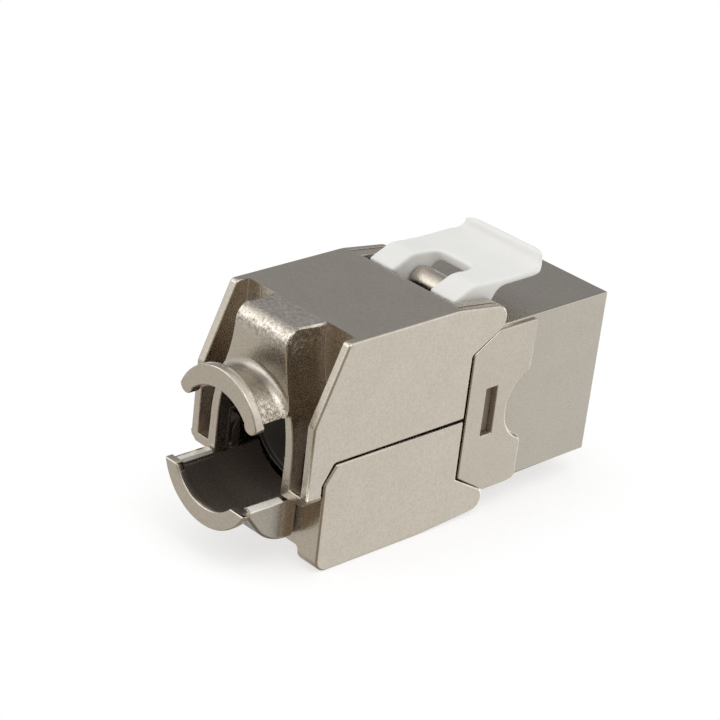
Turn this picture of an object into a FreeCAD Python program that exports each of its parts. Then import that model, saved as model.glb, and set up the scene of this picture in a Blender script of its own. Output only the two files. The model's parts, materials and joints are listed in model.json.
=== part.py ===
import FreeCAD, Part
import math
import os

# Shielded tool-less keystone jack, in millimetres. The origin is the centre of the front face. The plug port
# faces -Y, the cable enters from +Y and +Z is up. The jack is symmetric about the plane x = 0 but for the
# ends of the two cable lips and the trough's rim, which reach further round on the right (+X).

Vector = FreeCAD.Vector

# Plug port and the insert that shapes it
port_width = 11.8
port_top = 4.2
port_height = 6.8
port_margin = 0.1
key_width = 6.3
key_depth = 2.3
key_length = 9.0
tab_width = 3.4
tab_depth = 0.7
plug_depth = 11.2
insert_side_wall = 0.6
insert_back_wall = 1.2
insert_gap = 0.05

# Front housing, a die casting
front_plate = 0.9
housing_wall = 0.7
front_height = 16.0
housing_roof = 1.7
deck_thickness = 0.6
deck_reach = 4.15
flank_start = 9.55
flank_raise = 0.35
flank_top_drop = 0.3
flank_bottom_drop = 0.25
flank_corner = 1.0
bay_depth = 2.5
bay_radius = 3.5
bay_level = -0.7
bay_blend = 0.7
flank_slot_start = 4.1
flank_slot_length = 1.4
flank_slot_top = 2.15
flank_slot_height = 4.7
hook_start = 8.5
hook_length = 1.4
hook_depth = 1.1
hook_width = 10.0

# Rear edge of the housing flanks, which the two covers close against
flank_length = 7.8
joint_run = 3.6
joint_top_knee_drop = 2.1
joint_top_rise = 2.05
joint_bottom_knee_rise = 1.9
joint_bottom_drop = 2.0
joint_gap = 0.2
joint_knee_radius = 0.3

# Hinges of the two covers. The ears' round fronts touch the joint line, which places the pins.
lobe_lead = 0.05
upper_lobe_radius = 1.33
lower_lobe_radius = 1.2
upper_pin_radius = 0.7
lower_pin_radius = 0.6
pin_running_gap = 0.06
pin_end_depth = 1.0
pin_end_gap = 0.15
upper_boss_width = 4.2
upper_boss_radius = 1.4
lower_boss_gap = 0.4
lower_boss_radius = 1.1
ear_width = 1.9
ear_gap = 0.3

# Covers
cover_wall = 0.75
cover_rise = 2.85
cover_drop = 2.6
cover_length = 18.25
edge_rounding = 0.22
deck_clearance = 0.3

# Upper cover
top_plate = 0.9
top_bend_run = 4.65
top_bend_radius = 6.0
plate_start = 1.75
pocket_depth = 4.3
front_wall = 0.8
cheek_wall = 0.9
cheek_slope_run = 3.0
cheek_knee = 3.8
cheek_knee_radius = 1.0
cheek_top_radius = 0.5
leg_depth = 1.65
leg_length = 3.8
leg_floor = 0.85
leg_gap = 0.25
leg_corner = 1.0
block_half_top = 3.25
block_half_bottom = 5.3
block_taper_top = 7.6
block_taper_bottom = 1.8
block_taper_radius = 14.0
block_edge_radius = 1.35
mouth_half_top = 3.75
mouth_half = 4.3
hood_length = 3.1
hood_bore_level = 0.4
hood_bore_radius = 4.65
hood_level = 0.7
hood_radius = 5.3
hood_edge = 3.65
hood_right_edge = 4.35
hood_blend = 0.9
upper_lip_level = 1.75
upper_lip_radius = 5.22
upper_lip_edge = 3.6
upper_lip_length = 0.95
upper_lip_tilt = 2.0
ear_slit = 0.25
ear_slit_inset = 0.7
ear_slit_lead = 0.6
ear_slit_reach = 4.4
ear_slit_cover = 0.4

# Parting line between the covers, and the lower cover
parting_level = -0.25
parting_gap = 0.2
shoulder_run = 0.9
shoulder_drop = 1.75
shoulder_gap = 0.3
bottom_plate = 0.9
bottom_bend_run = 6.5
bottom_rear_radius = 1.3
bottom_plate_start = 3.9
rail_width = 2.5
rail_depth = 1.6
rail_rounding = 0.8
rear_wall = 0.8
trough_level = -1.1
trough_radius = 5.05
trough_wall = 0.7
trough_length = 5.7
rim_level = -3.9
right_rim_rise = 0.4
right_rim_gap = 0.15
rim_slope = 0.35
trough_gap = 0.35
chin_half = 4.9
chin_drop = 4.1
chin_length = 3.3
chin_lean = math.radians(52)
chin_bow_radius = 4.6
chin_root_radius = 0.6
chin_edge = 0.3
chin_groove = 0.3
chin_groove_depth = 0.6
lower_lip_level = -1.75
lower_lip_radius = 5.65
lower_lip_bore_level = -1.38
lower_lip_bore = 4.35
lower_lip_left_edge = -4.33
lower_lip_right_edge = -3.35
lower_lip_length = 0.8

# Panel latch, a plastic moulding that clips on the upper hinge pin
latch_slot_half = 2.3
latch_slot_lead = 2.15
latch_slot_corner = 1.0
latch_reach = 8.7
latch_level = 2.45
latch_plate = 0.75
latch_lip_rise = 1.1
latch_lip_length = 0.65
latch_corner = 2.0
latch_hub_radius = 1.33
latch_hump_rise = 2.65
latch_heel_reach = 3.6
latch_heel_rise = 1.55
latch_heel_end = 0.48
latch_edge = 0.2

# Contacts
contact_count = 8
contact_pitch = 1.02
contact_width = 0.36
contact_thickness = 0.25
contact_rise = 1.1
contact_front = 3.4
contact_bend = 0.55
contact_length = 6.4
contact_sag = 2.15
tail_length = 0.25
sled_half = 4.9
sled_front = 2.2
groove_gap = 0.12

# Circuit board
board_gap = 0.15
board_thickness = 1.2
board_side_margin = 0.65
board_height_margin = 0.2
board_hole_gap = 0.06

# Blade block and insulation displacement blades
block_gap = 0.05
block_length = 4.3
block_side_gap = 0.1
clip_thickness = 0.45
clip_nub = 0.5
tail_room_half = 0.5
blade_pitch = 3.2
blades_in_row = 4
blade_row_level = 4.0
blade_thickness = 0.4
blade_height = 2.6
blade_root = 0.6
blade_stand_out = 3.15
blade_tail = 0.6
blade_notch = 0.35
blade_notch_depth = 2.4
blade_gap = 0.12

# Wire manager, pressed onto the blades
manager_gap = 0.3
manager_length = 6.0
manager_side_gap = 0.35
collar_side_gap = 0.9
collar_gap = 0.3
throat_radius = 3.9
funnel_edge = 0.6
funnel_length = 2.0
manager_wall = 1.2
wire_groove_width = 1.0
wire_groove_start = 1.0
side_window_half = 2.0

# Shield springs, one at each side of the plug
spring_thickness = 0.2
spring_height = 3.0
spring_level = 0.8
spring_start = 1.6
spring_length = 8.0
spring_bulge = 0.7
window_gap = 0.3

# Smallest length that counts when edges are picked out
tiny = 0.001

# Widths and heights that follow from the ones above
cavity_half = port_width / 2 + insert_side_wall + insert_gap
front_half = cavity_half + housing_wall
flank_half = front_half + flank_raise
front_top = front_height / 2
cavity_top = front_top - housing_roof
deck_top = cavity_top + deck_thickness
insert_half = cavity_half - insert_gap
insert_top = cavity_top - insert_gap
port_bottom = port_top - port_height
key_bottom = port_bottom - key_depth
tab_bottom = key_bottom - tab_depth
flank_top = front_top - flank_top_drop
flank_bottom = -front_top - flank_bottom_drop
top_level = front_top + cover_rise
bottom_level = -front_top - cover_drop
belly_level = bottom_level + rail_depth
cover_inner = flank_half - cover_wall
cheek_inner = flank_half - cheek_wall
ear_inner = flank_half - ear_width
rail_inner = flank_half - rail_width
latch_half = ear_inner - ear_gap
lower_boss_width = 2 * (ear_inner - lower_boss_gap)
collar_radius = cover_inner - collar_side_gap
funnel_radius = collar_radius - funnel_edge
contact_level = port_top + contact_rise

# Places along the jack
joint_line = flank_start + flank_length
joint_front = joint_line - joint_run
deck_end = joint_line + deck_reach
rear_face = joint_line + cover_length
leg_front = rear_face - leg_depth
lower_rear = leg_front - leg_gap
parting_rear = lower_rear - shoulder_run
plate_rear = rear_face - pocket_depth
hood_end = rear_face + hood_length
trough_end = lower_rear + trough_length
plate_front = joint_line + plate_start
insert_start = front_plate + insert_gap
insert_end = insert_start + plug_depth + insert_back_wall
board_start = insert_end + board_gap
board_end = board_start + board_thickness
block_start = board_end + block_gap
block_end = block_start + block_length
blade_reach = block_end + blade_stand_out
manager_start = block_end + manager_gap
collar_start = manager_start + manager_length
collar_end = plate_rear - front_wall - collar_gap
slot_start = flank_start + flank_slot_start
spring_end = spring_start + spring_length

# The joint line: an upper slant, an upright and a lower slant
joint_top_knee = front_top - joint_top_knee_drop
joint_front_top = joint_top_knee + joint_top_rise
joint_bottom_knee = -front_top + joint_bottom_knee_rise
joint_front_bottom = joint_bottom_knee - joint_bottom_drop


def hinge_place(front_level, rise, radius):
    """The pin's y and height, for an ear whose round front touches the slanted joint line."""
    slant = math.hypot(joint_run, rise)
    reach = joint_front - lobe_lead + radius
    inward = (reach - joint_front) * abs(rise) / slant
    height = (radius + joint_gap / 2 - inward) * slant / joint_run
    return reach, front_level + math.copysign(height, rise)


upper_hinge = hinge_place(joint_front_top, joint_top_rise, upper_lobe_radius)
lower_hinge = hinge_place(joint_front_bottom, -joint_bottom_drop, lower_lobe_radius)
pin_half = ear_inner + pin_end_depth


def corner_arc(before, corner, after, radius):
    """Start, middle and end of the arc that rounds a corner between two straight sides."""
    back = (before - corner).normalize()
    ahead = (after - corner).normalize()
    half_angle = back.getAngle(ahead) / 2
    reach = radius / math.tan(half_angle)
    inward = (back + ahead).normalize()
    middle = corner + inward * (radius / math.sin(half_angle) - radius)
    return corner + back * reach, middle, corner + ahead * reach


def outline(points):
    """A face from corner points. A corner with a fourth value is rounded with that radius."""
    corners = [Vector(*point[:3]) for point in points]
    arcs = []
    for index, point in enumerate(points):
        if len(point) > 3:
            after = corners[(index + 1) % len(corners)]
            arcs.append(corner_arc(corners[index - 1], corners[index], after, point[3]))
        else:
            arcs.append(None)
    edges = []
    for index, arc in enumerate(arcs):
        if arc:
            edges.append(Part.Arc(*arc).toShape())
        following = arcs[(index + 1) % len(arcs)]
        start = arc[2] if arc else corners[index]
        end = following[0] if following else corners[(index + 1) % len(corners)]
        if start.distanceToPoint(end) > tiny:
            edges.append(Part.makeLine(start, end))
    return Part.Face(Part.Wire(edges))


def side_shape(points, half):
    """A solid of a side outline of (y, z) or (y, z, radius) corners, centred on x = 0."""
    return outline([(-half,) + tuple(point) for point in points]).extrude(Vector(2 * half, 0, 0))


def end_shape(points, y0, y1):
    """A solid of an end outline of (x, z) or (x, z, radius) corners, from y0 to y1."""
    corners = [(point[0], y0) + tuple(point[1:]) for point in points]
    return outline(corners).extrude(Vector(0, y1 - y0, 0))


def mirrored(points):
    """An end outline's right half, from top to bottom, followed by its left half."""
    return points + [(-point[0],) + tuple(point[1:]) for point in reversed(points)]


def box(x0, x1, y0, y1, z0, z1):
    """A block between two corners."""
    return Part.makeBox(x1 - x0, y1 - y0, z1 - z0, Vector(x0, y0, z0))


def wide_box(half, y0, y1, z0, z1):
    """A block centred on x = 0."""
    return box(-half, half, y0, y1, z0, z1)


def pin_rod(hinge, radius, half):
    """A rod along X on a hinge's axis, centred on x = 0."""
    return Part.makeCylinder(radius, 2 * half, Vector(-half, hinge[0], hinge[1]), Vector(1, 0, 0))


def rod_y(z, radius, y0, y1):
    """A rod along Y on the plane x = 0."""
    return Part.makeCylinder(radius, y1 - y0, Vector(0, y0, z), Vector(0, 1, 0))


def joined(shapes):
    """All the shapes as one solid."""
    return shapes[0].multiFuse(shapes[1:]).removeSplitter()


def cut(shape, tools):
    """The shape with every tool taken away."""
    for tool in tools:
        shape = shape.cut(tool)
    return shape.removeSplitter()


def both_sides(shape):
    """The shape and its mirror image across x = 0."""
    return [shape, shape.mirror(Vector(0, 0, 0), Vector(1, 0, 0))]


def soften_flanks(shape):
    """The shape with the edges of its two outer side faces rounded."""
    edges = []
    for edge in shape.Edges:
        bounds = edge.BoundBox
        if bounds.XLength < tiny and abs(abs(bounds.XMin) - flank_half) < tiny:
            edges.append(edge)
    return shape.makeFillet(edge_rounding, edges)


def save(name, shape):
    """Writes one node, which is a single closed solid."""
    solid = shape.Solids[0] if len(shape.Solids) == 1 else shape
    print(name, len(shape.Solids), "solid", round(shape.Volume, 3), "valid" if shape.isValid() else "NOT VALID")
    solid.exportStep("parts/" + name + ".step")


def contact_places():
    """The x of each contact."""
    first = -(contact_count - 1) / 2 * contact_pitch
    return [first + index * contact_pitch for index in range(contact_count)]


def blade_places():
    """The (x, z) of each blade, upper row first."""
    first = -(blades_in_row - 1) / 2 * blade_pitch
    columns = [first + index * blade_pitch for index in range(blades_in_row)]
    return [(x, z) for z in (blade_row_level, -blade_row_level) for x in columns]


def joint_corners(side):
    """The joint line moved half its gap towards the covers (side 1) or the housing (side -1), from top to bottom."""
    offset = side * joint_gap / 2
    corners = []
    for front, knee, rise in (
        (joint_front_top, joint_top_knee, joint_top_rise),
        (joint_front_bottom, joint_bottom_knee, -joint_bottom_drop),
    ):
        slant = math.hypot(joint_run, rise)
        turn = math.copysign(offset * (slant - abs(rise)) / joint_run, rise)
        lift = math.copysign(offset * slant / joint_run, rise)
        corners.append(((joint_front, front + lift), (joint_line + offset, knee + turn)))
    top, bottom = corners
    return [top[0], top[1], bottom[1], bottom[0]]


def on_slant(first, second, y=None, z=None):
    """The point of the straight line through two (y, z) points that has the given y or the given z."""
    slope = (second[1] - first[1]) / (second[0] - first[0])
    if z is None:
        return y, first[1] + (y - first[0]) * slope
    return first[0] + (z - first[1]) / slope, z


def flanks():
    """The block between the flanks and the raised flanks, with a round bay at their front and the joint line behind."""
    front_upper, knee_upper, knee_lower, front_lower = joint_corners(-1)
    rear = [knee_upper + (joint_knee_radius,), knee_lower + (joint_knee_radius,)]
    body = side_shape([
        (flank_start, flank_top),
        on_slant(front_upper, knee_upper, z=flank_top),
    ] + rear + [
        on_slant(front_lower, knee_lower, z=flank_bottom),
        (flank_start, flank_bottom, flank_corner),
    ], flank_half)
    core = side_shape([
        (flank_start, front_top),
        on_slant(front_upper, knee_upper, z=front_top),
    ] + rear + [
        on_slant(front_lower, knee_lower, z=-front_top),
        (flank_start, -front_top),
    ], front_half)
    centre = flank_start + bay_depth - bay_radius
    body = body.cut(pin_rod((centre, bay_level), bay_radius, flank_half))
    corners = []
    for edge in body.Edges:
        bounds = edge.BoundBox
        upright = bounds.YLength < tiny and bounds.ZLength < tiny and abs(bounds.YMin - flank_start) < tiny
        if upright and abs(bounds.ZMin - bay_level) < bay_radius:
            corners.append(edge)
    return [core, body.makeFillet(bay_blend, corners)]


def front_shell():
    """Front block, raised flanks and the two decks that run back between the covers."""
    nose = wide_box(front_half, 0, flank_start, -front_top, front_top)
    decks = wide_box(cavity_half, flank_start, deck_end, -deck_top, deck_top)
    return joined([nose, decks] + flanks())


def hinge_boss(hinge, radius, width):
    """The boss that holds a hinge pin, standing on the deck."""
    foot = math.copysign(cavity_top + deck_thickness / 2, hinge[1])
    low, high = sorted((foot, hinge[1]))
    return joined([
        pin_rod(hinge, radius, width / 2),
        wide_box(width / 2, hinge[0] - radius, hinge[0] + radius, low, high),
    ])


def keystone_hook():
    """The fixed hook under the front that drops behind the panel's lower ledge."""
    return side_shape([
        (hook_start, -front_top + housing_wall / 2),
        (hook_start + hook_length, -front_top + housing_wall / 2),
        (hook_start + hook_length, -front_top),
        (hook_start + hook_length / 2, -front_top - hook_depth),
        (hook_start, -front_top - hook_depth),
    ], hook_width / 2)


def port_shape(margin, y0, y1, key_end):
    """The plug opening with its key slot and tab slot."""
    return joined([
        wide_box(port_width / 2 + margin, y0, y1, port_bottom - margin, port_top + margin),
        wide_box(key_width / 2 + margin, y0, key_end, key_bottom - margin, port_bottom),
        wide_box(tab_width / 2 + margin, y0, key_end, tab_bottom - margin, key_bottom),
    ])


def front_housing():
    """The die-cast front housing."""
    body = joined([
        front_shell(),
        keystone_hook(),
        hinge_boss(upper_hinge, upper_boss_radius, upper_boss_width),
        hinge_boss(lower_hinge, lower_boss_radius, lower_boss_width),
    ])
    return cut(body, [
        wide_box(cavity_half, front_plate, deck_end, -cavity_top, cavity_top),
        port_shape(port_margin, 0, front_plate, front_plate),
        wide_box(flank_half, slot_start, slot_start + flank_slot_length, flank_slot_top - flank_slot_height,
                 flank_slot_top),
        pin_rod(upper_hinge, upper_pin_radius, flank_half),
        pin_rod(lower_hinge, lower_pin_radius, flank_half),
    ])


def tangent_level(bend, hinge, radius):
    """Where the line from a bend that grazes the ear's round front meets the plane in front of the ear."""
    run, rise = hinge[0] - bend[0], abs(hinge[1]) - abs(bend[1])
    angle = math.atan2(rise, run) - math.asin(radius / math.hypot(run, rise))
    level = abs(bend[1]) + math.tan(angle) * (hinge[0] - radius - bend[0])
    return math.copysign(level, bend[1])


def upper_outline():
    """Side outline of the upper cover, from the round front of the ear clockwise to the joint line."""
    front_upper, knee_upper = joint_corners(1)[:2]
    ear_front = upper_hinge[0] - upper_lobe_radius
    bend = (upper_hinge[0] + top_bend_run, top_level)
    parting = parting_level + parting_gap / 2
    shoulder = parting_level - shoulder_drop
    return [
        (ear_front, tangent_level(bend, upper_hinge, upper_lobe_radius), upper_lobe_radius),
        bend + (top_bend_radius,),
        (rear_face - cheek_slope_run, top_level, cheek_top_radius),
        (rear_face, cheek_knee, cheek_knee_radius),
        (rear_face, -leg_length),
        (leg_front, -leg_length),
        (leg_front, shoulder, joint_knee_radius),
        (parting_rear, parting, joint_knee_radius),
        (joint_line + joint_gap / 2, parting),
        knee_upper + (joint_knee_radius,),
        on_slant(front_upper, knee_upper, y=ear_front) + (upper_lobe_radius,),
    ]


def block_section():
    """Right half of the central block's end outline, which widens into the inner walls of the legs."""
    return [
        (block_half_top, top_level),
        (block_half_top, block_taper_top, block_taper_radius),
        (block_half_bottom, block_taper_bottom, block_taper_radius),
        (block_half_bottom, -leg_length),
    ]


def rear_block():
    """Central block between the pockets, with its top rear edge rounded and the hood's flared foot."""
    block = end_shape(mirrored(block_section()), plate_rear - front_wall, rear_face)
    rounded = side_shape([
        (plate_rear - front_wall, top_level),
        (rear_face, top_level, block_edge_radius),
        (rear_face, -leg_length),
        (plate_rear - front_wall, -leg_length),
    ], flank_half)
    below_parting = wide_box(flank_half, 0, leg_front, -leg_length, parting_level + parting_gap / 2)
    foot = end_shape(mirrored(block_section()), rear_face, rear_face + hood_blend)
    return joined([block.common(rounded).cut(below_parting), foot.common(hood_flare())])


def hood_flare():
    """The concave flare where the hood grows out of the block."""
    profile = Part.Wire([
        Part.makeLine(Vector(0, rear_face, hood_level), Vector(0, rear_face, hood_level + hood_radius + hood_blend)),
        Part.Arc(
            Vector(0, rear_face, hood_level + hood_radius + hood_blend),
            Vector(0, rear_face + hood_blend * (1 - math.sqrt(0.5)),
                   hood_level + hood_radius + hood_blend * (1 - math.sqrt(0.5))),
            Vector(0, rear_face + hood_blend, hood_level + hood_radius),
        ).toShape(),
        Part.makeLine(Vector(0, rear_face + hood_blend, hood_level + hood_radius),
                      Vector(0, rear_face + hood_blend, hood_level)),
        Part.makeLine(Vector(0, rear_face + hood_blend, hood_level), Vector(0, rear_face, hood_level)),
    ])
    flare = Part.Face(profile).revolve(Vector(0, 0, hood_level), Vector(0, 1, 0), 360)
    bottom = hood_level - flank_half
    return flare.cut(joined([
        box(-flank_half, 0, rear_face, hood_end, bottom, hood_edge),
        box(0, flank_half, rear_face, hood_end, bottom, hood_right_edge),
    ]))


def arch(level, radius, y0, y1, edge):
    """A round bar along Y with everything below the edge level taken off."""
    return rod_y(level, radius, y0, y1).cut(wide_box(2 * radius, y0, y1, level - 2 * radius, edge))


def rounded_crescent(level, radius, bore_level, bore, edge, y0, y1, side):
    """A lip: a crescent between two arcs, with round ends at the edge level. Side 1 arches up, -1 hangs down."""
    outer = math.sqrt(radius ** 2 - (edge - level) ** 2)
    inner = math.sqrt(bore ** 2 - (edge - bore_level) ** 2)
    drop = side * (outer - inner) / 2
    middle = (outer + inner) / 2
    edges = [
        Part.Arc(Vector(outer, y0, edge), Vector(0, y0, level + side * radius), Vector(-outer, y0, edge)),
        Part.Arc(Vector(-outer, y0, edge), Vector(-middle, y0, edge - drop), Vector(-inner, y0, edge)),
        Part.Arc(Vector(-inner, y0, edge), Vector(0, y0, bore_level + side * bore), Vector(inner, y0, edge)),
        Part.Arc(Vector(inner, y0, edge), Vector(middle, y0, edge - drop), Vector(outer, y0, edge)),
    ]
    face = Part.Face(Part.Wire([arc.toShape() for arc in edges]))
    return face.extrude(Vector(0, y1 - y0, 0))


def cable_mouth():
    """The opening between the legs, with straight sides and a round arch, and the hood's bore behind it."""
    start = plate_rear - front_wall
    channel = end_shape(mirrored([
        (mouth_half_top, top_level),
        (mouth_half_top, hood_edge),
        (mouth_half, block_taper_bottom, block_taper_radius),
        (mouth_half, -leg_length),
    ]), start, rear_face)
    below = channel.common(wide_box(mouth_half, start, rear_face, -leg_length, hood_edge))
    crown = rod_y(hood_bore_level, hood_bore_radius, start, rear_face).common(channel)
    bore = rod_y(hood_bore_level, hood_bore_radius, rear_face, hood_end)
    return joined([below, crown, bore])


def leg_corner_cut():
    """What rounds the outer lower corner of the right leg."""
    centre = Vector(flank_half - leg_corner, leg_front, -leg_length + leg_corner)
    corner = box(centre.x, flank_half, leg_front, rear_face, -leg_length, centre.z)
    return corner.cut(Part.makeCylinder(leg_corner, leg_depth, centre, Vector(0, 1, 0)))


def ear_slit_cut():
    """The narrow slit just inside the right ear's outer face."""
    outer = flank_half - ear_slit_inset
    floor = upper_hinge[1] + upper_pin_radius + ear_slit_cover
    start = upper_hinge[0] - ear_slit_lead
    return box(outer - ear_slit, outer, start, upper_hinge[0] + ear_slit_reach, floor, top_level)


def upper_cover():
    """The die-cast upper cover with its half of the strain relief."""
    shell_end = plate_rear - front_wall
    deck_roof = deck_top + deck_clearance
    leg_room = box(mouth_half, flank_half, leg_front, rear_face, -leg_length, -leg_length + leg_floor)
    shell = cut(soften_flanks(side_shape(upper_outline(), flank_half)), [
        wide_box(cover_inner, 0, shell_end, -leg_length, deck_roof),
        wide_box(cover_inner, plate_front, shell_end, -leg_length, top_level - top_plate),
        wide_box(ear_inner, 0, plate_front, -leg_length, top_level),
        wide_box(cheek_inner, plate_rear, rear_face, -leg_length, top_level),
    ])
    body = joined([
        shell,
        rear_block(),
        arch(hood_level, hood_radius, rear_face - front_wall, hood_end, hood_edge),
    ] + both_sides(leg_room))
    lip = rounded_crescent(upper_lip_level, upper_lip_radius, hood_bore_level, hood_bore_radius, upper_lip_edge,
                           hood_end, hood_end + upper_lip_length, 1)
    lip.rotate(Vector(-upper_lip_radius, 0, upper_lip_edge), Vector(0, 1, 0), -upper_lip_tilt)
    pin_room = pin_rod(upper_hinge, upper_pin_radius + pin_running_gap, pin_half + pin_end_gap)
    tools = [cable_mouth(), pin_room] + both_sides(leg_corner_cut()) + both_sides(ear_slit_cut())
    return joined([cut(body, tools), lip])


def lower_outline():
    """Side outline of the lower cover, from the round front of the ear round to the joint line."""
    front_lower, knee_lower = joint_corners(1)[3:1:-1]
    ear_front = lower_hinge[0] - lower_lobe_radius
    bend = (lower_hinge[0] + bottom_bend_run, bottom_level)
    top = parting_level - parting_gap / 2
    return [
        (ear_front, tangent_level(bend, lower_hinge, lower_lobe_radius), lower_lobe_radius),
        bend + (top_bend_radius,),
        (lower_rear, bottom_level, bottom_rear_radius),
        (lower_rear, parting_level - shoulder_drop, joint_knee_radius),
        (parting_rear - shoulder_gap, top, joint_knee_radius),
        (joint_line + joint_gap / 2, top),
        knee_lower + (joint_knee_radius,),
        on_slant(front_lower, knee_lower, y=ear_front) + (lower_lobe_radius,),
    ]


def belly_cut():
    """What is taken away between the two rails of the underside."""
    return end_shape(mirrored([
        (rail_inner, belly_level, rail_rounding / 2),
        (rail_inner, bottom_level, rail_rounding),
        (rail_inner + 2 * rail_rounding, bottom_level),
        (rail_inner + 2 * rail_rounding, bottom_level - rail_depth),
    ]), lower_hinge[0] - lower_lobe_radius, lower_rear)


def chin_outline(start, root_radius):
    """Side outline of the chin from a start in y: down, along the bottom, then up in a long bow."""
    bottom = rim_level - chin_drop
    bend = lower_rear + chin_length
    return [
        (start, rim_level),
        (start, bottom, root_radius) if root_radius else (start, bottom),
        (bend, bottom, chin_bow_radius),
        (bend + chin_drop / math.tan(chin_lean), rim_level),
    ]


def chin_body():
    """The chin that carries the trough, with round-edged sides that stand off the cover behind a groove."""
    core = side_shape(chin_outline(lower_rear - rear_wall, 0), chin_half - chin_groove_depth)
    hull = side_shape(chin_outline(lower_rear + chin_groove, chin_root_radius), chin_half)
    rim = [edge for edge in hull.Edges if edge.BoundBox.XLength < tiny and edge.BoundBox.ZMin < rim_level - tiny]
    body = joined([core, hull.makeFillet(chin_edge, rim)])
    return body.common(wide_box(chin_half, 0, trough_end, rim_level - chin_drop, rim_level))


def trough_and_chin():
    """The half pipe for the cable on its chin, and the lip at its end. Both reach up further on the right."""
    start = collar_end + trough_gap
    reach = 2 * trough_radius
    rise_start = rear_face + right_rim_gap
    rise_level = rim_level + right_rim_rise
    rim_half = math.sqrt(trough_radius ** 2 - (rim_level - trough_level) ** 2)
    left_rim = end_shape([
        (-reach, rim_level - rim_slope * (reach - rim_half)),
        (-rim_half, rim_level),
        (0, rim_level),
        (0, reach),
        (-reach, reach),
    ], start, trough_end)
    pipe = rod_y(trough_level, trough_radius + trough_wall, start, trough_end)
    half_pipe = cut(joined([chin_body(), pipe]), [
        rod_y(trough_level, trough_radius, start, trough_end),
        left_rim,
        box(0, reach, start, rise_start, rim_level, reach),
        box(0, reach, start, trough_end, rise_level, reach),
    ])
    lip_end = trough_end + lower_lip_length
    lip = rod_y(lower_lip_level, lower_lip_radius, trough_end, lip_end)
    lip = cut(lip, [
        rod_y(lower_lip_bore_level, lower_lip_bore, trough_end, lip_end),
        box(-reach, 0, trough_end, lip_end, lower_lip_left_edge, reach),
        box(0, reach, trough_end, lip_end, lower_lip_right_edge, reach),
    ])
    return joined([half_pipe, lip])


def lower_cover():
    """The die-cast lower cover with the trough of the strain relief."""
    wall_start = lower_rear - rear_wall
    plate_start_y = lower_hinge[0] + bottom_plate_start
    mouth = rod_y(trough_level, trough_radius, wall_start, lower_rear)
    slot_below = wide_box(mouth_half, wall_start, lower_rear, rim_level, 0)
    shell = cut(soften_flanks(side_shape(lower_outline(), flank_half)), [
        wide_box(cover_inner, 0, wall_start, -deck_top - deck_clearance, 0),
        wide_box(cover_inner, plate_start_y, wall_start, belly_level + bottom_plate, 0),
        wide_box(ear_inner, 0, plate_start_y, bottom_level, 0),
        belly_cut(),
        mouth.cut(wide_box(2 * trough_radius, wall_start, lower_rear, rim_level, trough_radius)),
        slot_below,
    ])
    pin_room = pin_rod(lower_hinge, lower_pin_radius + pin_running_gap, pin_half + pin_end_gap)
    return cut(joined([shell, trough_and_chin()]), [pin_room])


def latch_outline():
    """Side outline of the latch: lip, plate, and the hump that runs back and down over the pin."""
    pin_y, pin_z = upper_hinge
    front = pin_y - latch_reach
    top = pin_z + latch_level
    under = top - latch_plate
    lip_back = front + latch_lip_length
    return [
        (front, under),
        (front, top + latch_lip_rise, latch_edge),
        (lip_back, top + latch_lip_rise, latch_edge),
        (lip_back + latch_lip_length / 2, top, latch_lip_length),
        (pin_y - latch_slot_lead, top, latch_reach),
        (pin_y + latch_heel_reach / 4, pin_z + latch_hump_rise, 2 * latch_hump_rise / 3),
        (pin_y + latch_heel_reach, pin_z + latch_heel_rise, latch_edge),
        (pin_y + latch_heel_reach - latch_heel_end, pin_z + latch_heel_rise - latch_heel_end),
        (pin_y + latch_hub_radius, pin_z - latch_hub_radius / 4, 2 * latch_edge),
        (pin_y, pin_z),
        (pin_y - latch_hub_radius, pin_z + latch_edge, 2 * latch_edge),
        (pin_y - latch_slot_lead, under, latch_hub_radius),
    ]


def panel_latch():
    """The latch that snaps into the panel."""
    rear = upper_hinge[0] + latch_heel_reach
    front = upper_hinge[0] - latch_reach
    low = upper_hinge[1] - latch_hub_radius
    plan = outline([
        (-latch_half, front, low, latch_corner),
        (latch_half, front, low, latch_corner),
        (latch_half, rear, low),
        (-latch_half, rear, low),
    ]).extrude(Vector(0, 0, 2 * (latch_hub_radius + latch_hump_rise)))
    slot_front = upper_hinge[0] - latch_slot_lead
    slot = outline([
        (-latch_slot_half, slot_front, low, latch_slot_corner),
        (latch_slot_half, slot_front, low, latch_slot_corner),
        (latch_slot_half, rear, low),
        (-latch_slot_half, rear, low),
    ]).extrude(Vector(0, 0, 2 * (latch_hub_radius + latch_hump_rise)))
    body = side_shape(latch_outline(), latch_half).common(plan)
    hubs = pin_rod(upper_hinge, latch_hub_radius, latch_half)
    bore = pin_rod(upper_hinge, upper_pin_radius + pin_running_gap, latch_half)
    return cut(joined([body, hubs]), [slot, bore])


def spring_window():
    """The window in the insert's right wall through which the shield spring reaches the plug."""
    low = spring_level - spring_height / 2 - window_gap
    high = spring_level + spring_height / 2 + window_gap
    return box(port_width / 2, insert_half, spring_start - window_gap, spring_end + window_gap, low, high)


def jack_insert():
    """The plastic insert with the plug cavity and the pocket for the contact sled."""
    body = wide_box(insert_half, insert_start, insert_end, -insert_top, insert_top)
    cavity = port_shape(0, insert_start, insert_start + plug_depth, insert_start + key_length)
    sled_room = wide_box(sled_half + insert_gap, sled_front - insert_gap, insert_end, port_top, cavity_top)
    return cut(body, [cavity, sled_room] + both_sides(spring_window()))


def contact_sled():
    """The plastic sled above the plug cavity, with a groove for each contact."""
    body = wide_box(sled_half, sled_front, insert_end, port_top + groove_gap, insert_top)
    half = contact_width / 2 + groove_gap
    top = contact_level + contact_thickness / 2 + groove_gap
    return cut(body, [box(x - half, x + half, sled_front, insert_end, port_top, top) for x in contact_places()])


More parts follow.
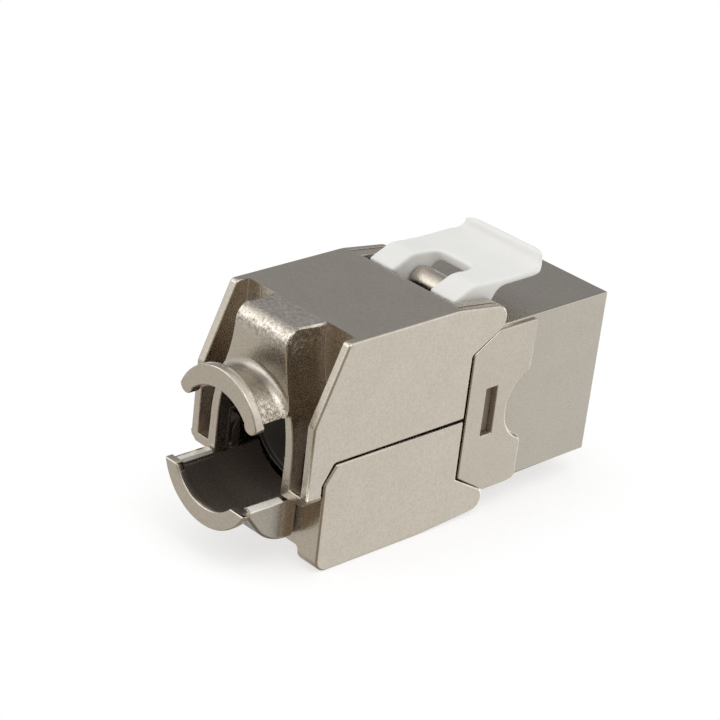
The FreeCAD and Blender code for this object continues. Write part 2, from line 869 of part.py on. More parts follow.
def contact(x):
    """One spring contact wire: a straight tail, a round bend and a sloping spring arm."""
    half = contact_thickness / 2
    bend_y = contact_front - contact_bend
    low = contact_level - 2 * contact_bend
    tip_y = contact_front + contact_length
    tip = low - contact_sag
    slope = contact_sag / (contact_length + contact_bend)
    edge = half * math.hypot(1, slope)
    face = outline([
        (x - contact_width / 2, board_end + tail_length, contact_level + half),
        (x - contact_width / 2, bend_y - half, contact_level + half, contact_bend + half),
        (x - contact_width / 2, bend_y - half, low - edge, contact_bend),
        (x - contact_width / 2, tip_y, tip - edge),
        (x - contact_width / 2, tip_y, tip + edge),
        (x - contact_width / 2, bend_y + half, low + edge, contact_bend / 2),
        (x - contact_width / 2, bend_y + half, contact_level - half, contact_bend / 2),
        (x - contact_width / 2, board_end + tail_length, contact_level - half),
    ])
    return face.extrude(Vector(contact_width, 0, 0))


def blade_tail_level(z):
    """The level of a blade's tail, on the side of the blade towards the board's centre."""
    inward = (blade_height - blade_tail) / 2
    return z - math.copysign(inward, z)


def circuit_board():
    """The circuit board, with a hole for each contact tail and each blade tail."""
    half = cavity_half - board_side_margin
    body = wide_box(half, board_start, board_end, board_height_margin - cavity_top, cavity_top - board_height_margin)
    wire_hole = math.hypot(contact_width, contact_thickness) / 2 + board_hole_gap
    blade_hole = math.hypot(blade_thickness, blade_tail) / 2 + board_hole_gap
    places = [(x, contact_level, wire_hole) for x in contact_places()]
    places += [(x, blade_tail_level(z), blade_hole) for x, z in blade_places()]
    axis = Vector(0, 1, 0)
    return cut(body, [
        Part.makeCylinder(radius, board_thickness, Vector(x, board_start, z), axis) for x, z, radius in places
    ])


def idc_blade(x, z):
    """One insulation displacement blade: a plate with a tail, and a notch that takes the wire."""
    half = blade_thickness / 2
    root = block_start + blade_root
    level = blade_tail_level(z)
    blade = joined([
        box(x - half, x + half, root, blade_reach, z - blade_height / 2, z + blade_height / 2),
        box(x - half, x + half, board_start, root, level - blade_tail / 2, level + blade_tail / 2),
    ])
    notch_start = blade_reach - blade_notch_depth
    notch = box(x - half, x + half, notch_start, blade_reach, z - blade_notch / 2, z + blade_notch / 2)
    return blade.cut(notch)


def blade_slot(x, z, y0, y1):
    """The slot that takes one blade in the plastic around it."""
    half = blade_thickness / 2 + blade_gap
    tall = blade_height / 2 + blade_gap
    return box(x - half, x + half, y0, y1, z - tall, z + tall)


def block_clip():
    """The right clip of the blade block, which runs beside the board and shows in the flank's slot."""
    inner = cavity_half - block_side_gap - clip_thickness
    outer = cavity_half - block_side_gap
    low = flank_slot_top - flank_slot_height + insert_gap
    high = flank_slot_top - insert_gap
    arm = box(inner, outer, board_start + insert_gap, block_start + blade_root, low, high)
    nub = box(outer, outer + clip_nub, slot_start + insert_gap, slot_start + flank_slot_length - insert_gap, low, high)
    return joined([arm, nub])


def idc_block():
    """The plastic block that holds the blades against the board."""
    half = cavity_half - block_side_gap
    tall = cavity_top - block_side_gap
    body = joined([wide_box(half, block_start, block_end, -tall, tall)] + both_sides(block_clip()))
    room = tail_length + groove_gap
    low, high = contact_level - tail_room_half, contact_level + tail_room_half
    tail_room = wide_box(sled_half, block_start, block_start + room, low, high)
    slots = [blade_slot(x, z, block_start, block_end) for x, z in blade_places()]
    return cut(body, [tail_room] + slots)


def wire_manager():
    """The plastic cap that carries the wires onto the blades, with the round cable mouth behind."""
    half = cavity_half - manager_side_gap
    tall = cavity_top - manager_side_gap
    front = wide_box(half, manager_start, collar_start, -tall, tall)
    body = joined([front, rod_y(0, collar_radius, collar_start, collar_end)])
    throat_start = collar_start - manager_wall
    axis = Vector(0, 1, 0)
    funnel = Part.makeCone(
        throat_radius, funnel_radius, funnel_length, Vector(0, collar_end - funnel_length, 0), axis,
    )
    slot_end = blade_reach + manager_gap
    tools = [rod_y(0, throat_radius, throat_start, collar_end), funnel]
    tools.append(wide_box(half, slot_end + manager_gap, throat_start, -side_window_half, side_window_half))
    groove_start = manager_start + wire_groove_start
    for x, z in blade_places():
        tools.append(blade_slot(x, z, manager_start, slot_end))
        low, high = sorted((z - math.copysign(blade_height / 2, z), math.copysign(tall, z)))
        side = wire_groove_width / 2
        tools.append(box(x - side, x + side, groove_start, groove_start + wire_groove_width, low, high))
    return cut(body, tools)


def shield_spring(side):
    """A leaf that stands in the insert's window and bows inwards to touch the plug. Side is 1 or -1."""
    middle = (spring_start + spring_end) / 2
    low = spring_level - spring_height / 2
    inner = insert_half - spring_thickness
    corners = (
        Vector(insert_half, spring_start, low), Vector(insert_half, spring_end, low),
        Vector(inner, spring_end, low), Vector(inner, spring_start, low),
    )
    edges = [
        Part.Arc(corners[0], Vector(insert_half - spring_bulge, middle, low), corners[1]).toShape(),
        Part.makeLine(corners[1], corners[2]),
        Part.Arc(corners[2], Vector(inner - spring_bulge, middle, low), corners[3]).toShape(),
        Part.makeLine(corners[3], corners[0]),
    ]
    leaf = Part.Face(Part.Wire(edges)).extrude(Vector(0, 0, spring_height))
    return leaf if side > 0 else both_sides(leaf)[1]


os.makedirs("parts", exist_ok=True)
save("front_housing", front_housing())
save("upper_cover", upper_cover())
save("lower_cover", lower_cover())
save("panel_latch", panel_latch())
save("upper_hinge_pin", pin_rod(upper_hinge, upper_pin_radius, pin_half))
save("lower_hinge_pin", pin_rod(lower_hinge, lower_pin_radius, pin_half))
save("jack_insert", jack_insert())
save("contact_sled", contact_sled())
save("circuit_board", circuit_board())
save("idc_block", idc_block())
save("wire_manager", wire_manager())
save("shield_spring_left", shield_spring(-1))
save("shield_spring_right", shield_spring(1))
for number, place in enumerate(contact_places(), 1):
    save("contact_" + str(number), contact(place))
for number, (across, level) in enumerate(blade_places(), 1):
    save("idc_blade_" + str(number), idc_blade(across, level))
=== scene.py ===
import json
import math

import bmesh
import bpy
from mathutils import Matrix, Vector
from mathutils.bvhtree import BVHTree
from mathutils.kdtree import KDTree


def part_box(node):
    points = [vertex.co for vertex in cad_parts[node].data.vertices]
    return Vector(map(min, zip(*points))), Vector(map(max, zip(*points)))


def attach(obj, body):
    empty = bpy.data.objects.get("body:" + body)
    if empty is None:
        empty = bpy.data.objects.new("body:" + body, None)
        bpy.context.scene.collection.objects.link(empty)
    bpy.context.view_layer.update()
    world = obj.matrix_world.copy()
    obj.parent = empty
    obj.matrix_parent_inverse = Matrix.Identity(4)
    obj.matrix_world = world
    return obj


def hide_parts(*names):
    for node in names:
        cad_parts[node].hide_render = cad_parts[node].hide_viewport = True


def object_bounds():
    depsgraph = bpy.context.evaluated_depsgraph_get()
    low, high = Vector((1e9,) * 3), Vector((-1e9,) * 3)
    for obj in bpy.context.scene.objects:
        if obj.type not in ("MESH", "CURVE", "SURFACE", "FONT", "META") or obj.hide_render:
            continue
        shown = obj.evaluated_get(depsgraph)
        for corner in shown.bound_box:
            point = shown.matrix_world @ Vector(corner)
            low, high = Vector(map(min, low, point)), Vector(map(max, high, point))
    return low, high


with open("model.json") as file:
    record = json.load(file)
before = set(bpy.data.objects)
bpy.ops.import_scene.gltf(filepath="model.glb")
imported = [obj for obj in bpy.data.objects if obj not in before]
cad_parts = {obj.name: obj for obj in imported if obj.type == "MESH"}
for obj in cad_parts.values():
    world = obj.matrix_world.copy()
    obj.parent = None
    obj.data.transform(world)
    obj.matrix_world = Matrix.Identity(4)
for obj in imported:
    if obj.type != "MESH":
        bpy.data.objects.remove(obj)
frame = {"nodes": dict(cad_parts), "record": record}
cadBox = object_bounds()
scene = bpy.context.scene
mm = 0.001
white = (1, 1, 1, 1)
print("frame loaded:", len(frame["nodes"]), "nodes")

# sizes and places are in millimetres from here on, except the studio's
camera = {
    "place": (-133.284, 160.880, 96.091),
    "right": (-0.67670, -0.72842, 0.10713), "up": (0.38533, -0.22640, 0.89458),
    "ahead": (0.62737, -0.64664, -0.43389),
    "lens": 122.28, "sensor": 36, "nearest": 5, "farthest": 10000,
}


def addCamera(settings):
    data = bpy.data.cameras.new("camera")
    data.lens = settings["lens"]
    data.sensor_width = settings["sensor"]
    data.clip_start = settings["nearest"] * mm
    data.clip_end = settings["farthest"] * mm
    right, up, ahead = (Vector(settings[k]) for k in ("right", "up", "ahead"))
    turn = Matrix((right, up, -ahead)).transposed().to_4x4()
    viewer = bpy.data.objects.new("camera", data)
    viewer.matrix_world = Matrix.Translation(Vector(settings["place"]) * mm) @ turn
    scene.collection.objects.link(viewer)
    scene.camera = viewer


addCamera(camera)


class Nodes:
    # a short way to build a node tree
    def __init__(self, tree):
        self.tree = tree

    def add(self, kind, inputs=(), **values):
        node = self.tree.nodes.new(kind)
        for name, value in values.items():
            setattr(node, name, value)
        for name, value in dict(inputs).items():
            self.feed(node.inputs[name], value)
        return node

    def feed(self, socket, value):
        if isinstance(value, bpy.types.NodeSocket):
            self.tree.links.new(value, socket)
        elif value is not None:
            socket.default_value = value


def newMaterial(name):
    material = bpy.data.materials.new(name)
    material.use_nodes = True
    material.node_tree.nodes.clear()
    return material, Nodes(material.node_tree)


def grain(nodes, place, scale, detail, roughness):
    return nodes.add("ShaderNodeTexNoise", {
        "Vector": place, "Scale": scale, "Detail": detail, "Roughness": roughness,
    }).outputs["Fac"]


def spread(nodes, value, low, high, fromLow=0.3, fromHigh=0.7, **how):
    # most of a grain lies between 0.3 and 0.7
    return nodes.add("ShaderNodeMapRange", {
        "Value": value, "From Min": fromLow, "From Max": fromHigh, "To Min": low, "To Max": high,
    }, **how).outputs["Result"]


def sums(nodes, operation, first, second=None):
    return nodes.add("ShaderNodeMath", {0: first, 1: second}, operation=operation).outputs[0]


def vectorSums(nodes, operation, first, second=None, output="Value"):
    return nodes.add("ShaderNodeVectorMath", {0: first, 1: second}, operation=operation).outputs[output]


def mixShaders(nodes, factor, first, second):
    return nodes.add("ShaderNodeMixShader", {0: factor, 1: first, 2: second}).outputs[0]


def openAround(nodes, reach, samples, **how):
    # 1 where nothing is within reach, less where something is
    looker = nodes.add("ShaderNodeAmbientOcclusion", {"Distance": reach * mm}, samples=samples, **how)
    return looker.outputs["AO"]


def objectPlace(nodes):
    return nodes.add("ShaderNodeTexCoord").outputs["Object"]


def coat(nodes, inputs):
    surface = nodes.add("ShaderNodeBsdfPrincipled", inputs)
    nodes.add("ShaderNodeOutputMaterial", {"Surface": surface.outputs[0]})


def mixColours(nodes, factor, first, second):
    mix = nodes.add("ShaderNodeMix", data_type="RGBA")
    nodes.feed(mix.inputs[0], factor)
    nodes.feed(mix.inputs[6], first)
    nodes.feed(mix.inputs[7], second)
    return mix.outputs[2]


def bumps(nodes, layers):
    normal = None
    for height, depth in layers:
        normal = nodes.add("ShaderNodeBump", {
            "Height": height, "Distance": depth * mm, "Strength": 1.0, "Normal": normal,
        }).outputs["Normal"]
    return normal


def within(nodes, place, zone):
    # 1 inside the zone and 0 outside, with a soft edge
    parts = nodes.add("ShaderNodeSeparateXYZ", {"Vector": place}).outputs
    inside = 1.0
    for axis, (low, high, soft) in zone.items():
        if axis == "R":   # distance from the line along the jack's middle
            value = vectorSums(nodes, "LENGTH", vectorSums(nodes, "MULTIPLY", place, (1, 0, 1), "Vector"))
        elif axis == "X":   # distance from the jack's middle plane
            value = sums(nodes, "ABSOLUTE", parts[axis])
        else:
            value = parts[axis]
        for edge, turn in ((low, 1), (high, -1)):
            side = spread(nodes, value, 0.0, 1.0, (edge - turn * soft) * mm, (edge + turn * soft) * mm)
            inside = sums(nodes, "MULTIPLY", inside, side)
    return inside


def castNickel(settings):
    material, nodes = newMaterial(settings["name"])
    place = objectPlace(nodes)
    fine, cloud, rolling, sand, cast = (
        grain(nodes, place, *settings[k + "Grain"]) for k in ("fine", "cloud", "rolling", "sand", "cast")
    )
    colour = mixColours(nodes, spread(nodes, cloud, 0.0, 1.0), settings["colour"], settings["cloudColour"])
    for pits, shade in ((fine, settings["fineShade"]), (sand, settings["sandShade"])):
        colour = mixColours(nodes, spread(nodes, pits, 0.0, *shade), colour, settings["pitColour"])
    # the cable end is cast rougher than the flanks, most on its shoulders
    rough = 0.0
    for zone in settings["castZones"]:
        rough = sums(nodes, "MAXIMUM", rough, within(nodes, place, zone))
    # painted glints: the bright flecks on the rough zones stand for light sparkling off the rough casting,
    # the dark ones for its pits
    for shade, share, low, high in settings["castGlintsAndPits"]:
        fleck = sums(nodes, "MULTIPLY", rough, spread(nodes, cast, 0.0, share, low, high))
        colour = mixColours(nodes, fleck, colour, shade)
    # painted shade: the colour is darkened and browned, and made less metallic, where the casting closes in
    # on itself
    openness = openAround(nodes, settings["recessReach"], settings["recessSamples"], only_local=True)
    closed = spread(nodes, openness, settings["recessShade"], 0.0, *settings["recessRange"])
    colour = mixColours(nodes, closed, colour, settings["recessShadeColour"])
    metal = spread(nodes, openness, settings["recessMetal"], 1.0, *settings["recessRange"])
    # painted shade and highlights: in each zone a colour is mixed in and the metal is lowered
    for zone, shade, share, mostMetal in settings["paintedLightZones"]:
        inside = sums(nodes, "MULTIPLY", within(nodes, place, zone), share)
        colour = mixColours(nodes, inside, colour, shade)
        metal = sums(nodes, "MINIMUM", metal, spread(nodes, inside, 1.0, mostMetal, 0.0, share))
    lumps = sums(nodes, "MULTIPLY", rough, cast)
    coat(nodes, {
        "Base Color": colour, "Metallic": metal, "Roughness": spread(nodes, fine, *settings["roughRange"]),
        "Normal": bumps(nodes, [
            (rolling, settings["rollingDepth"]), (sand, settings["sandDepth"]),
            (fine, settings["fineDepth"]), (lumps, settings["castDepth"]),
        ]),
    })
    return material


def mouldedPlastic(settings):
    material, nodes = newMaterial(settings["name"])
    place = objectPlace(nodes)
    fine, cloud = (grain(nodes, place, *settings[k]) for k in ("fineGrain", "cloudGrain"))
    colour = mixColours(nodes, spread(nodes, cloud, 0.0, 1.0), settings["colour"], settings["cloudColour"])
    # painted highlights: a pale colour is mixed in within each zone
    for zone, shade in settings.get("paintedHighlightZones", ()):
        colour = mixColours(nodes, within(nodes, place, zone), colour, shade)
    coat(nodes, {
        "Base Color": colour, "Roughness": spread(nodes, cloud, *settings["roughRange"]),
        "Normal": bumps(nodes, [(fine, settings["fineDepth"])]),
        "Subsurface Weight": settings["milky"], "Subsurface Radius": settings["milkyColour"],
        "Subsurface Scale": settings["milkyDepth"] * mm,
    })
    return material


castSettings = {
    "name": "satinNickel", "colour": (0.635, 0.585, 0.505, 1),
    "cloudColour": (0.60, 0.55, 0.47, 1), "pitColour": (0.44, 0.39, 0.325, 1),
    # grains: scale, detail, roughness
    "fineGrain": (7000, 3.0, 0.65), "sandGrain": (3200, 2.0, 0.6), "cloudGrain": (260, 4.0, 0.55),
    "rollingGrain": (700, 1.5, 0.4), "castGrain": (3000, 4.0, 0.75),
    # pits: share of the pit colour, and the grain where they start and are full
    "fineShade": (0.4, 0.35, 0.75), "sandShade": (0.35, 0.4, 0.7), "roughRange": (0.21, 0.31),
    "rollingDepth": 0.005, "sandDepth": 0.010, "fineDepth": 0.005, "castDepth": 0.07,
    # recesses, where shade is painted: how far they are looked for, the share of their shade colour, the
    # least metal, openness from and to
    "recessShadeColour": (0.33, 0.225, 0.15, 1), "recessReach": 2.2, "recessSamples": 8, "recessShade": 0.75,
    "recessMetal": 0.25, "recessRange": (0.42, 0.75),
    "castZones": (   # low, high and softness of each
        {"X": (-1, 6.6, 0.1), "Y": (31.3, 36.0, 0.2), "Z": (9.3, 10.8, 0.7)},
        {"X": (-1, 6.6, 0.1), "Y": (31.3, 35.0, 0.2), "Z": (8.2, 10.8, 0.9)},
        {"X": (-1, 6.6, 0.1), "Y": (35.9, 38.6, 0.3), "Z": (1.0, 5.5, 1.0)},
    ),
    # flecks, bright painted glints and dark pits: colour, share, and the grain where they start and are full
    "castGlintsAndPits": (((0.95, 0.92, 0.86, 1), 0.9, 0.50, 0.62), ((0.22, 0.17, 0.13, 1), 0.9, 0.46, 0.36)),
    "paintedLightZones": (   # painted shade and painted highlights: zone, colour, share of that colour, most metal
        # painted shade in the trough as a whole, and a lighter painted shade in its inner half
        ({"X": (-1, 4.5, 0.1), "Y": (30.5, 39.95, 0.05), "Z": (-7.9, -4.0, 0.1)},
         (0.10, 0.082, 0.068, 1), 1.0, 0.2),
        ({"X": (-1, 4.5, 0.1), "Y": (28.0, 35.4, 1.3), "Z": (-7.9, -3.95, 0.1)},
         (0.17, 0.14, 0.118, 1), 1.0, 0.2),
        # painted highlight on the trough's rims
        ({"X": (4.28, 5.0, 0.03), "Y": (35.7, 39.3, 0.04), "Z": (-4.24, -3.4, 0.03)},
         (0.95, 0.91, 0.84, 1), 1.0, 0.15),
        # painted shade on the sides of the chin
        ({"X": (4.7, 5.1, 0.05), "Y": (35.7, 39.5, 0.1), "Z": (-8.2, -4.3, 0.05)},
         (0.25, 0.23, 0.20, 1), 0.6, 1.0),
        # painted shade on the top of the hood
        ({"X": (-1, 2.3, 0.8), "Y": (35.7, 38.7, 0.2), "Z": (4.9, 6.4, 0.4)},
         (0.16, 0.145, 0.13, 1), 0.8, 1.0),
        # painted shade on the lower cover's corners inside the channel of the upper one
        ({"X": (3.9, 7.2, 0.1), "Y": (31.0, 34.3, 0.1), "Z": (-3.8, 0.2, 0.1)},
         (0.09, 0.065, 0.05, 1), 1.0, 0.15),
        # painted shade on the flanks by the port
        ({"X": (7.0, 7.4, 0.05), "Y": (-1, 12.9, 0.1), "Z": (-9, 12, 0.5)},
         (0.30, 0.285, 0.27, 1), 0.28, 1.0),
    ),
}
satinNickel = castNickel(castSettings)
housingNickel = castNickel({   # the housing is a little darker than the covers
    **castSettings, "name": "housingNickel",
    "colour": (0.57, 0.527, 0.457, 1), "cloudColour": (0.54, 0.495, 0.425, 1),
})

plasticSettings = {
    "fineGrain": (7000, 2.0, 0.6), "cloudGrain": (400, 3.0, 0.5), "roughRange": (0.30, 0.40),
    "fineDepth": 0.004, "milky": 0.0, "milkyDepth": 0.0, "milkyColour": (1.0, 0.9, 0.8),
}
whitePlastic = mouldedPlastic({
    **plasticSettings, "name": "whitePlastic",
    "colour": (0.80, 0.80, 0.785, 1), "cloudColour": (0.775, 0.775, 0.755, 1),
    "fineGrain": (6000, 2.0, 0.6), "cloudGrain": (300, 3.0, 0.5), "roughRange": (0.37, 0.47),
    "fineDepth": 0.002, "milky": 0.25, "milkyDepth": 0.6,
})
blackPlastic = mouldedPlastic({
    **plasticSettings, "name": "blackPlastic",
    "colour": (0.022, 0.022, 0.024, 1), "cloudColour": (0.03, 0.03, 0.032, 1), "roughRange": (0.40, 0.50),
})
brownPlastic = mouldedPlastic({
    **plasticSettings, "name": "brownPlastic",
    "colour": (0.24, 0.185, 0.14, 1), "cloudColour": (0.20, 0.155, 0.115, 1),
})
darkPlastic = mouldedPlastic({
    **plasticSettings, "name": "darkPlastic",
    "colour": (0.075, 0.068, 0.060, 1), "cloudColour": (0.06, 0.054, 0.048, 1),
    # a painted highlight: the edge of the cable mouth is painted pale
    "paintedHighlightZones": (({"R": (5.79, 6.05, 0.02), "Y": (30.04, 30.30, 0.02)}, (0.62, 0.60, 0.56, 1)),),
})


def plainMetal(settings):
    material, nodes = newMaterial(settings["name"])
    fine = grain(nodes, objectPlace(nodes), *settings["fineGrain"])
    colour = mixColours(nodes, spread(nodes, fine, 0.0, 1.0), settings["colour"], settings["cloudColour"])
    coat(nodes, {
        "Base Color": colour, "Metallic": 1.0, "Roughness": spread(nodes, fine, *settings["roughRange"]),
        "Normal": bumps(nodes, [(fine, settings["fineDepth"])]),
    })
    return material


goldPlate = plainMetal({
    "name": "goldPlate", "colour": (0.86, 0.62, 0.26, 1), "cloudColour": (0.80, 0.56, 0.22, 1),
    "fineGrain": (5000, 2.0, 0.6), "roughRange": (0.17, 0.27), "fineDepth": 0.001,
})
tinPlate = plainMetal({
    "name": "tinPlate", "colour": (0.66, 0.65, 0.62, 1), "cloudColour": (0.58, 0.57, 0.545, 1),
    "fineGrain": (4000, 2.0, 0.6), "roughRange": (0.29, 0.39), "fineDepth": 0.002,
})
groundSteel = plainMetal({
    "name": "groundSteel", "colour": (0.55, 0.54, 0.52, 1), "cloudColour": (0.47, 0.46, 0.44, 1),
    "fineGrain": (5000, 2.0, 0.6), "roughRange": (0.25, 0.35), "fineDepth": 0.002,
})

boardSettings = {
    "name": "solderMask", "colour": (0.012, 0.10, 0.04, 1), "weaveColour": (0.016, 0.13, 0.055, 1),
    "weaveGrain": (1500, 2.0, 0.5), "roughRange": (0.25, 0.35), "weaveDepth": 0.003,
}


def solderMask(settings):
    material, nodes = newMaterial(settings["name"])
    weave = grain(nodes, objectPlace(nodes), *settings["weaveGrain"])
    colour = mixColours(nodes, spread(nodes, weave, 0.0, 1.0), settings["colour"], settings["weaveColour"])
    coat(nodes, {
        "Base Color": colour, "Roughness": spread(nodes, weave, *settings["roughRange"]),
        "Normal": bumps(nodes, [(weave, settings["weaveDepth"])]),
    })
    return material


boardGreen = solderMask(boardSettings)
print("materials made")


def looseShape(node, settings):
    shape = bmesh.new()
    shape.from_mesh(frame["nodes"][node].data)
    bmesh.ops.remove_doubles(shape, verts=shape.verts, dist=settings["weld"] * mm)
    return shape


def placed(shape, name):
    data = bpy.data.meshes.new(name)
    shape.to_mesh(data)
    shape.free()
    piece = bpy.data.objects.new(name, data)
    scene.collection.objects.link(piece)
    return piece


def heldIn(shape, box):
    low, high = box
    for vert in shape.verts:
        vert.co = [min(max(c, a), b) for c, a, b in zip(vert.co, low, high)]


def roundEdges(shape, picked, radius, steps):
    shape.edges.ensure_lookup_table()
    bmesh.ops.bevel(
        shape, geom=[shape.edges[i] for i in picked], affect="EDGES", offset=radius * mm,
        offset_type="OFFSET", segments=steps, profile=0.5, material=-1,
        clamp_overlap=False, loop_slide=True,
    )
    shape.normal_update()


def foldedPlaces(shape, smallest):
    places = []
    for corner in shape.calc_loop_triangles():
        first, second, third = (loop.vert.co for loop in corner)
        across = (second - first).cross(third - first)
        if across.dot(corner[0].face.normal) < 0 and across.length > 2 * smallest * mm * mm:
            places += [first.copy(), second.copy(), third.copy()]
    return places


def roundZone(shape, zone, settings):
    # edges whose rounding would fold a face over are left for a smaller radius
    low, high, radius, steps, sharp = zone
    shape.edges.index_update()
    picked = [
        e.index for e in shape.edges if e.calc_face_angle(0) > math.radians(sharp)
        and all(a * mm <= c <= b * mm for v in e.verts for a, c, b in zip(low, v.co, high))
    ]
    first = len(picked)
    for _ in range(settings["tries"]):
        trial = shape.copy()
        roundEdges(trial, picked, radius, steps)
        folded = foldedPlaces(trial, settings["smallest"])
        trial.free()
        if not folded:
            break
        tree = KDTree(len(folded))
        for number, place in enumerate(folded):
            tree.insert(place, number)
        tree.balance()
        shape.edges.ensure_lookup_table()
        reach = settings["reach"] * radius * mm
        picked = [
            i for i in picked if all(tree.find(v.co)[2] > reach for v in shape.edges[i].verts)
        ]
    roundEdges(shape, picked, radius, steps)
    return first - len(picked)


def softened(node, name, settings):
    shape = looseShape(node, settings)
    bmesh.ops.dissolve_limit(
        shape, angle_limit=math.radians(settings["flat"]), verts=shape.verts, edges=shape.edges,
    )
    bmesh.ops.dissolve_degenerate(shape, dist=settings["weld"] * mm, edges=shape.edges)
    surface = BVHTree.FromBMesh(shape)
    zones = settings["special"].get(node, []) + settings["all"]
    finer = [roundZone(shape, zone, settings) for zone in zones]
    astray = 0
    for vert in shape.verts:
        near, _, _, distance = surface.find_nearest(vert.co)
        if distance > settings["astray"] * mm:
            vert.co = near
            astray += 1
    heldIn(shape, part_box(node))
    print(name, len(shape.faces), "faces,", astray, "corners pulled back, edges left finer:", finer)
    return placed(shape, name)


bodies = frame["record"]["behaviour"]["bodies"]
bodyOf = {node: body for body, members in bodies.items() for node in members}
sharpAngle = math.radians(40)


def finishPiece(piece, material, node):
    piece.data.materials.clear()
    piece.data.materials.append(material)
    for polygon in piece.data.polygons:
        polygon.use_smooth = True
    piece.data.set_sharp_from_angle(angle=sharpAngle)
    level = piece.modifiers.new("level", "WEIGHTED_NORMAL")   # flat faces stay flat beside their roundings
    level.keep_sharp = True
    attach(piece, bodyOf[node])
    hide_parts(node)


# how the castings and the wire cap are rounded
castEdges = {
    # folded faces under the smallest, in square millimetres, don't count; the reach is in radii
    "weld": 0.002, "flat": 1.0, "astray": 0.2, "smallest": 0.003, "reach": 2.2, "tries": 3,
    # zones: low corner, high corner, radius, steps, least angle of the edges that are rounded
    "all": [
        ((-20, -20, -20), (20, 60, 20), 0.13, 3, 25.0),
        ((-20, -20, -20), (20, 60, 20), 0.05, 3, 40.0),
    ],
    "special": {
        "upper_cover": [((-6.6, 31.2, 10.7), (6.6, 34.3, 11.0), 0.45, 5, 25.0)],
        "front_housing": [
            ((-7.7, 9.4, -7.6), (-7.5, 12.7, 7.6), 0.25, 5, 25.0),
            ((7.5, 9.4, -7.6), (7.7, 12.7, 7.6), 0.25, 5, 25.0),
        ],
    },
}
for node, name, material, slot in (
    ("front_housing", "housing", housingNickel, "nickel_casting"),
    ("upper_cover", "upperCover", satinNickel, "nickel_casting"),
    ("lower_cover", "lowerCover", satinNickel, "nickel_casting"),
    ("wire_manager", "wireManager", darkPlastic, "manager_plastic"),
):
    finishPiece(softened(node, name, castEdges), material, node)

# the latch is one soft moulded skin: its mesh is made even, then smoothed
latchSkin = {"weld": 0.002, "voxel": 0.11, "passes": 22, "pull": 0.5}


def moulded(node, name, settings):
    piece = placed(looseShape(node, settings), name)
    even = piece.modifiers.new("even", "REMESH")
    even.mode = "VOXEL"
    even.voxel_size = settings["voxel"] * mm
    skin = bpy.data.meshes.new_from_object(piece.evaluated_get(bpy.context.evaluated_depsgraph_get()))
    piece.modifiers.clear()
    shape = bmesh.new()
    shape.from_mesh(skin)
    for _ in range(settings["passes"]):
        bmesh.ops.smooth_vert(
            shape, verts=shape.verts, factor=settings["pull"],
            use_axis_x=True, use_axis_y=True, use_axis_z=True,
        )
    heldIn(shape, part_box(node))
    shape.to_mesh(piece.data)
    shape.free()
    print(name, len(piece.data.polygons), "faces")
    return piece


finishPiece(moulded("panel_latch", "panelLatch", latchSkin), whitePlastic, "panel_latch")

# parts that keep the CAD's own mesh
nodeMaterials = {
    "upper_hinge_pin": groundSteel, "lower_hinge_pin": groundSteel, "jack_insert": blackPlastic,
    "contact_sled": blackPlastic, "circuit_board": boardGreen, "idc_block": brownPlastic,
    "shield_spring_left": groundSteel, "shield_spring_right": groundSteel,
}
for node, source in frame["nodes"].items():
    material = nodeMaterials.get(node)
    if node.startswith("contact_") and node != "contact_sled":
        material = goldPlate
    if node.startswith("idc_blade"):
        material = tinPlate
    if material:
        source.data.materials.clear()
        source.data.materials.append(material)
print("pieces made")

studio = {   # the floor and the lamps are in metres
    "floorSize": 3.0, "floorColour": (0.82, 0.82, 0.82, 1),
    "floorLift": 0.5, "floorWhite": 1.3,   # share and strength of the floor's own glow
    "tableEnd": (2, 9),   # millimetres beyond the jack where the table starts to fade and is gone
    # a cover below the table: how far it is looked for in millimetres, and openness from and to
    "pitReach": 45, "pitSamples": 16, "pitRange": (0.965, 0.998),
    "bright": (0.95, 0.95, 0.94, 1),
    # the room as the metal mirrors it, below and above the table's edge: towards, colour, from, to
    "lowSides": (
        ((0.70, 0.72, 0), (0.66, 0.64, 0.61, 1), 0.1, 0.8),
        ((-0.70, 0.71, 0), (0.32, 0.25, 0.185, 1), 0.2, 0.8),
        ((0, -1, 0), (2.0, 2.0, 1.97, 1), 0.72, 0.95),
        ((0, 0, -1), (0.36, 0.32, 0.28, 1), 0.55, 0.85),
    ),
    "highSides": (
        ((0.70, -0.72, 0), (0.355, 0.355, 0.37, 1), 0.2, 0.7),
        ((-0.70, 0.71, 0), (0.45, 0.42, 0.39, 1), 0.3, 0.9),
        ((-0.43, -0.65, 0.63), (1.3, 1.3, 1.3, 1), 0.85, 0.98),
        ((0.63, 0.43, 0.65), (2.0, 2.0, 2.0, 1), 0.85, 0.98),
    ),
    "tableEdge": (-0.15, 0.1), "overhead": (0.55, 0.9),   # heights from and to
    "lamps": {   # place, size, power
        "keyLamp": ((-0.25, 0.05, 0.45), 0.30, 0.4), "fillLamp": ((0.15, 0.45, 0.25), 0.35, 0.15),
    },
}


def softSpread(nodes, value, start, full):
    return spread(nodes, value, 0.0, 1.0, start, full, interpolation_type="SMOOTHSTEP")


def shadeBySide(nodes, direction, bright, sides):
    colour = bright
    for toward, shade, start, full in sides:
        along = vectorSums(nodes, "DOT_PRODUCT", direction, toward)
        colour = mixColours(nodes, softSpread(nodes, along, start, full), colour, shade)
    return colour


def beyondTable(nodes, settings):
    # 0 near the jack and 1 where the table has ended
    parts = nodes.add("ShaderNodeSeparateXYZ", {"Vector": objectPlace(nodes)}).outputs
    away = 0.0
    for axis, low, high in (("X", cadBox[0].x, cadBox[1].x), ("Y", cadBox[0].y, cadBox[1].y)):
        off = sums(nodes, "ABSOLUTE", sums(nodes, "SUBTRACT", parts[axis], (low + high) / 2))
        away = sums(nodes, "MAXIMUM", sums(nodes, "SUBTRACT", off, (high - low) / 2), away)
    return spread(nodes, away, 0.0, 1.0, *(edge * mm for edge in settings["tableEnd"]))


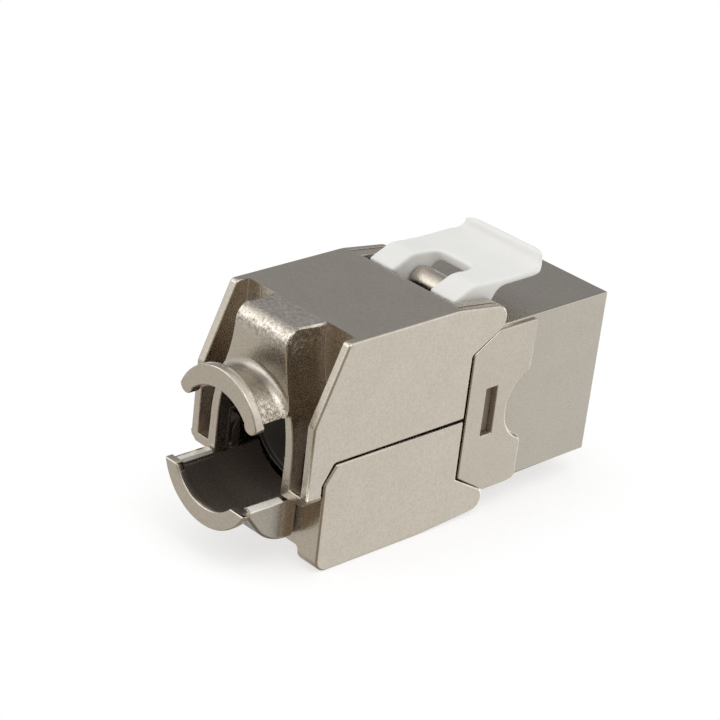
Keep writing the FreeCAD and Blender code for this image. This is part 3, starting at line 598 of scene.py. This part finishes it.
def addFloor(settings):
    shape = bmesh.new()
    bmesh.ops.create_grid(shape, x_segments=1, y_segments=1, size=settings["floorSize"])
    bmesh.ops.translate(shape, verts=shape.verts, vec=(0, 0, cadBox[0].z))
    floor = placed(shape, "floor")
    material, nodes = newMaterial("paleFloor")
    path = nodes.add("ShaderNodeLightPath").outputs
    isCamera, isGlossy, isTransmission = (path[f"Is {k} Ray"] for k in ("Camera", "Glossy", "Transmission"))
    matt = nodes.add("ShaderNodeBsdfDiffuse", {"Color": settings["floorColour"]}).outputs[0]
    glow = nodes.add("ShaderNodeEmission", {
        "Color": white, "Strength": settings["floorWhite"],
    }).outputs[0]
    lift = sums(nodes, "MULTIPLY", sums(nodes, "MAXIMUM", isCamera, isTransmission), settings["floorLift"])
    lit = mixShaders(nodes, lift, matt, glow)
    through = nodes.add("ShaderNodeBsdfTransparent").outputs[0]
    # the table is left open over a cover that hangs below its level, and ends softly round the shadow
    below = openAround(nodes, settings["pitReach"], settings["pitSamples"], inside=True)
    overPit = mixShaders(nodes, spread(nodes, below, 1.0, 0.0, *settings["pitRange"]), lit, through)
    table = mixShaders(nodes, isCamera, lit, overPit)
    beyond = sums(nodes, "MULTIPLY", beyondTable(nodes, settings), isCamera)
    # metal looks through the table at the world, which holds the room
    surface = mixShaders(nodes, sums(nodes, "MAXIMUM", beyond, isGlossy), table, through)
    nodes.add("ShaderNodeOutputMaterial", {"Surface": surface})
    floor.data.materials.append(material)


def addSky(settings):
    world = bpy.data.worlds.new("studio")
    scene.world = world
    world.use_nodes = True
    world.node_tree.nodes.clear()
    nodes = Nodes(world.node_tree)
    direction = nodes.add("ShaderNodeTexCoord").outputs["Generated"]
    height = nodes.add("ShaderNodeSeparateXYZ", {"Vector": direction}).outputs["Z"]
    bright = settings["bright"]
    rise, overhead = (softSpread(nodes, height, *settings[k]) for k in ("tableEdge", "overhead"))
    around = mixColours(nodes, rise, shadeBySide(nodes, direction, bright, settings["lowSides"]),
                        shadeBySide(nodes, direction, bright, settings["highSides"]))
    isCamera = nodes.add("ShaderNodeLightPath").outputs["Is Camera Ray"]
    colour = mixColours(nodes, isCamera, mixColours(nodes, overhead, around, bright), white)
    sky = nodes.add("ShaderNodeBackground", {"Color": colour, "Strength": 1.0})
    nodes.add("ShaderNodeOutputWorld", {"Surface": sky.outputs[0]})


def addLamp(name, place, size, power, target):
    data = bpy.data.lights.new(name, "AREA")
    data.shape = "DISK"
    data.size = size
    data.energy = power
    lamp = bpy.data.objects.new(name, data)
    lamp.location = place
    lamp.rotation_euler = (Vector(target) - Vector(place)).to_track_quat("-Z", "Y").to_euler()
    scene.collection.objects.link(lamp)


middle = (cadBox[0] + cadBox[1]) / 2
addFloor(studio)
addSky(studio)
for name, (place, size, power) in studio["lamps"].items():
    addLamp(name, place, size, power, middle)
scene.view_settings.view_transform = "Standard"
print("studio set")
